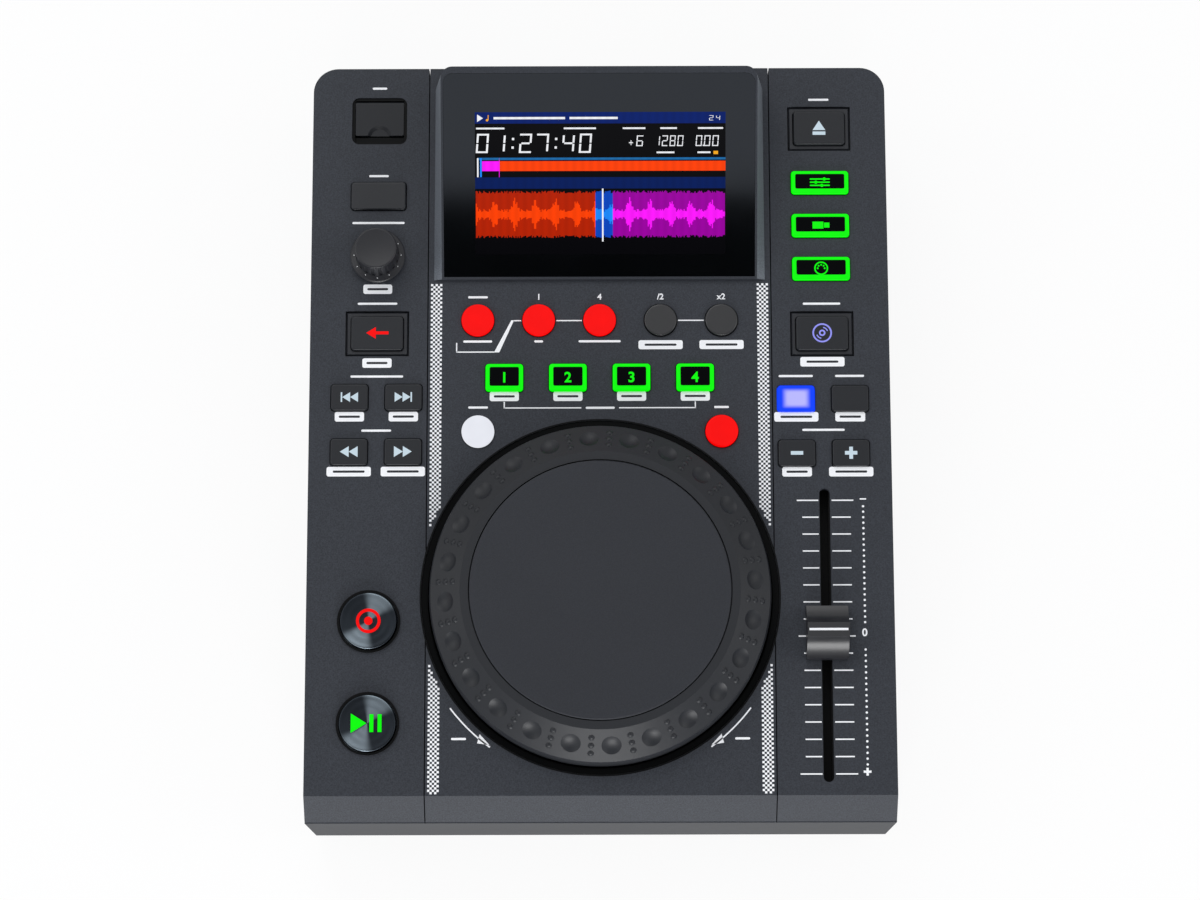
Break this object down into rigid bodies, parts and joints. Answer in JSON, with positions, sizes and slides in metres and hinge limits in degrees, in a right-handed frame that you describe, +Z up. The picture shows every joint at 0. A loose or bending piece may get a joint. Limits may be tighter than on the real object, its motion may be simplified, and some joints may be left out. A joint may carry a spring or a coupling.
{
  "type": "tabletop media player with jog wheel",
  "caption": "Deep desktop media player: tilted screen pod, large jog wheel with a dimpled rim, pitch fader, browse encoder and rows of lit keys; sockets in the rear.",
  "frame": {"origin": "middle of the bounding box in plan, on the table that the feet stand on", "axes": "+X to the user's right, +Y to the rear, +Z up"},
  "size_m": [0.22, 0.29, 0.0909],
  "materials": {
    "deck_plastic": "fine-grained moulded cover, matt",
    "base_plastic": "moulded tray, matt black",
    "black_plastic": "moulded black",
    "jog_plastic": "moulded dark grey",
    "plate_plastic": "matt touch plate",
    "key_plastic": "key caps",
    "green_plastic": "lit translucent green",
    "red_plastic": "lit translucent red",
    "blue_plastic": "lit translucent blue",
    "white_plastic": "lit translucent white",
    "spun_metal": "spun, dark",
    "lens_plastic": "clear cover over a black mask",
    "screen": "lit screen",
    "rubber": "moulded feet",
    "steel": "plated",
    "brass_bush": "turned",
    "circuit_board": "glass-filled board"
  },
  "bodies": {
    "case": {"left_cheek": "deck_plastic", "right_cheek": "deck_plastic", "centre_deck": "deck_plastic", "base_tray": "base_plastic", "rubber_feet": "rubber", "case_screws": "steel", "key_bezels": "deck_plastic", "key_boards": "circuit_board", "tact_switches": "black_plastic", "main_board": "circuit_board", "display_pod": "deck_plastic", "display_lens": "lens_plastic", "display_module": "screen", "jog_well": "black_plastic", "jog_bearing": "brass_bush", "usb_pocket": "black_plastic", "usb_a_socket": "steel", "browse_encoder": "steel", "fader_body": "black_plastic", "line_jacks": "steel", "usb_b_socket": "steel", "dc_jack": "black_plastic", "power_switch": "black_plastic"},
    "jog_wheel": {"jog_rim": "jog_plastic", "touch_plate": "plate_plastic", "jog_spindle": "steel"},
    "browse_turn": {"browse_shaft": "steel"},
    "browse_push": {"browse_knob": "key_plastic"},
    "pitch_fader": {"pitch_lever": "steel", "pitch_cap": "key_plastic"},
    "flap": {"usb_flap": "black_plastic"},
    "rocker": {"power_rocker": "black_plastic"},
    "press_back_key": {"back_key": "key_plastic"},
    "press_reverse_key": {"reverse_key": "key_plastic"},
    "press_eject_key": {"eject_key": "key_plastic"},
    "press_vinyl_key": {"vinyl_key": "key_plastic"},
    "press_settings_key": {"settings_key": "green_plastic"},
    "press_source_key": {"source_key": "green_plastic"},
    "press_midi_key": {"midi_key": "green_plastic"},
    "press_track_back_key": {"track_back_key": "key_plastic"},
    "press_track_next_key": {"track_next_key": "key_plastic"},
    "press_search_back_key": {"search_back_key": "key_plastic"},
    "press_search_next_key": {"search_next_key": "key_plastic"},
    "press_key_lock_key": {"key_lock_key": "blue_plastic"},
    "press_tap_key": {"tap_key": "key_plastic"},
    "press_bend_minus_key": {"bend_minus_key": "key_plastic"},
    "press_bend_plus_key": {"bend_plus_key": "key_plastic"},
    "press_pad_key_1": {"pad_key_1": "green_plastic"},
    "press_pad_key_2": {"pad_key_2": "green_plastic"},
    "press_pad_key_3": {"pad_key_3": "green_plastic"},
    "press_pad_key_4": {"pad_key_4": "green_plastic"},
    "press_cue_button": {"cue_button": "spun_metal"},
    "press_play_button": {"play_button": "spun_metal"},
    "press_shift_button": {"shift_button": "white_plastic"},
    "press_slip_button": {"slip_button": "red_plastic"},
    "press_auto_loop_button": {"auto_loop_button": "red_plastic"},
    "press_loop_in_button": {"loop_in_button": "red_plastic"},
    "press_loop_out_button": {"loop_out_button": "red_plastic"},
    "press_reloop_button": {"reloop_button": "key_plastic"},
    "press_loop_double_button": {"loop_double_button": "key_plastic"}
  },
  "joints": [
    {"name": "jog_spin", "type": "hinge", "parent": "case", "child": "jog_wheel", "pos_m": [0, -0.06091, 0.065], "axis": [0, 0, 1], "continuous": true},
    {"name": "browse_spin", "type": "hinge", "parent": "case", "child": "browse_turn", "pos_m": [-0.0845, 0.07001, 0.065], "axis": [0, 0, 1], "continuous": true},
    {"name": "browse_click", "type": "slide", "parent": "browse_turn", "child": "browse_push", "axis": [0, 0, -1], "range_m": [0, 0.0005], "stiffness_N_per_m": 400, "springref_m": -0.002},
    {"name": "pitch_slide", "type": "slide", "parent": "case", "child": "pitch_fader", "axis": [0, 1, 0], "range_m": [-0.05, 0.05]},
    {"name": "flap_hinge", "type": "hinge", "parent": "case", "child": "flap", "pos_m": [-0.0845, 0.13111, 0.0631], "axis": [-1, 0, 0], "range_deg": [0, 90]},
    {"name": "power_tilt", "type": "hinge", "parent": "case", "child": "rocker", "pos_m": [0.062, 0.13121, 0.028], "axis": [0, 0, 1], "range_deg": [0, 16]},
    {"name": "press_back_key", "type": "slide", "parent": "case", "child": "press_back_key", "axis": [0, 0, -1], "range_m": [0, 0.001], "stiffness_N_per_m": 350, "springref_m": -0.002},
    {"name": "press_reverse_key", "type": "slide", "parent": "case", "child": "press_reverse_key", "axis": [0, 0, -1], "range_m": [0, 0.001], "stiffness_N_per_m": 350, "springref_m": -0.002},
    {"name": "press_eject_key", "type": "slide", "parent": "case", "child": "press_eject_key", "axis": [0, 0, -1], "range_m": [0, 0.001], "stiffness_N_per_m": 350, "springref_m": -0.002},
    {"name": "press_vinyl_key", "type": "slide", "parent": "case", "child": "press_vinyl_key", "axis": [0, 0, -1], "range_m": [0, 0.001], "stiffness_N_per_m": 350, "springref_m": -0.002},
    {"name": "press_settings_key", "type": "slide", "parent": "case", "child": "press_settings_key", "axis": [0, 0, -1], "range_m": [0, 0.001], "stiffness_N_per_m": 350, "springref_m": -0.002},
    {"name": "press_source_key", "type": "slide", "parent": "case", "child": "press_source_key", "axis": [0, 0, -1], "range_m": [0, 0.001], "stiffness_N_per_m": 350, "springref_m": -0.002},
    {"name": "press_midi_key", "type": "slide", "parent": "case", "child": "press_midi_key", "axis": [0, 0, -1], "range_m": [0, 0.001], "stiffness_N_per_m": 350, "springref_m": -0.002},
    {"name": "press_track_back_key", "type": "slide", "parent": "case", "child": "press_track_back_key", "axis": [0, 0, -1], "range_m": [0, 0.001], "stiffness_N_per_m": 350, "springref_m": -0.002},
    {"name": "press_track_next_key", "type": "slide", "parent": "case", "child": "press_track_next_key", "axis": [0, 0, -1], "range_m": [0, 0.001], "stiffness_N_per_m": 350, "springref_m": -0.002},
    {"name": "press_search_back_key", "type": "slide", "parent": "case", "child": "press_search_back_key", "axis": [0, 0, -1], "range_m": [0, 0.001], "stiffness_N_per_m": 350, "springref_m": -0.002},
    {"name": "press_search_next_key", "type": "slide", "parent": "case", "child": "press_search_next_key", "axis": [0, 0, -1], "range_m": [0, 0.001], "stiffness_N_per_m": 350, "springref_m": -0.002},
    {"name": "press_key_lock_key", "type": "slide", "parent": "case", "child": "press_key_lock_key", "axis": [0, 0, -1], "range_m": [0, 0.001], "stiffness_N_per_m": 350, "springref_m": -0.002},
    {"name": "press_tap_key", "type": "slide", "parent": "case", "child": "press_tap_key", "axis": [0, 0, -1], "range_m": [0, 0.001], "stiffness_N_per_m": 350, "springref_m": -0.002},
    {"name": "press_bend_minus_key", "type": "slide", "parent": "case", "child": "press_bend_minus_key", "axis": [0, 0, -1], "range_m": [0, 0.001], "stiffness_N_per_m": 350, "springref_m": -0.002},
    {"name": "press_bend_plus_key", "type": "slide", "parent": "case", "child": "press_bend_plus_key", "axis": [0, 0, -1], "range_m": [0, 0.001], "stiffness_N_per_m": 350, "springref_m": -0.002},
    {"name": "press_pad_key_1", "type": "slide", "parent": "case", "child": "press_pad_key_1", "axis": [0, 0, -1], "range_m": [0, 0.001], "stiffness_N_per_m": 350, "springref_m": -0.002},
    {"name": "press_pad_key_2", "type": "slide", "parent": "case", "child": "press_pad_key_2", "axis": [0, 0, -1], "range_m": [0, 0.001], "stiffness_N_per_m": 350, "springref_m": -0.002},
    {"name": "press_pad_key_3", "type": "slide", "parent": "case", "child": "press_pad_key_3", "axis": [0, 0, -1], "range_m": [0, 0.001], "stiffness_N_per_m": 350, "springref_m": -0.002},
    {"name": "press_pad_key_4", "type": "slide", "parent": "case", "child": "press_pad_key_4", "axis": [0, 0, -1], "range_m": [0, 0.001], "stiffness_N_per_m": 350, "springref_m": -0.002},
    {"name": "press_cue_button", "type": "slide", "parent": "case", "child": "press_cue_button", "axis": [0, 0, -1], "range_m": [0, 0.0015], "stiffness_N_per_m": 350, "springref_m": -0.002},
    {"name": "press_play_button", "type": "slide", "parent": "case", "child": "press_play_button", "axis": [0, 0, -1], "range_m": [0, 0.0015], "stiffness_N_per_m": 350, "springref_m": -0.002},
    {"name": "press_shift_button", "type": "slide", "parent": "case", "child": "press_shift_button", "axis": [0, 0, -1], "range_m": [0, 0.001], "stiffness_N_per_m": 350, "springref_m": -0.002},
    {"name": "press_slip_button", "type": "slide", "parent": "case", "child": "press_slip_button", "axis": [0, 0, -1], "range_m": [0, 0.001], "stiffness_N_per_m": 350, "springref_m": -0.002},
    {"name": "press_auto_loop_button", "type": "slide", "parent": "case", "child": "press_auto_loop_button", "axis": [0, 0, -1], "range_m": [0, 0.001], "stiffness_N_per_m": 350, "springref_m": -0.002},
    {"name": "press_loop_in_button", "type": "slide", "parent": "case", "child": "press_loop_in_button", "axis": [0, 0, -1], "range_m": [0, 0.001], "stiffness_N_per_m": 350, "springref_m": -0.002},
    {"name": "press_loop_out_button", "type": "slide", "parent": "case", "child": "press_loop_out_button", "axis": [0, 0, -1], "range_m": [0, 0.001], "stiffness_N_per_m": 350, "springref_m": -0.002},
    {"name": "press_reloop_button", "type": "slide", "parent": "case", "child": "press_reloop_button", "axis": [0, 0, -1], "range_m": [0, 0.001], "stiffness_N_per_m": 350, "springref_m": -0.002},
    {"name": "press_loop_double_button", "type": "slide", "parent": "case", "child": "press_loop_double_button", "axis": [0, 0, -1], "range_m": [0, 0.001], "stiffness_N_per_m": 350, "springref_m": -0.002}
  ]
}
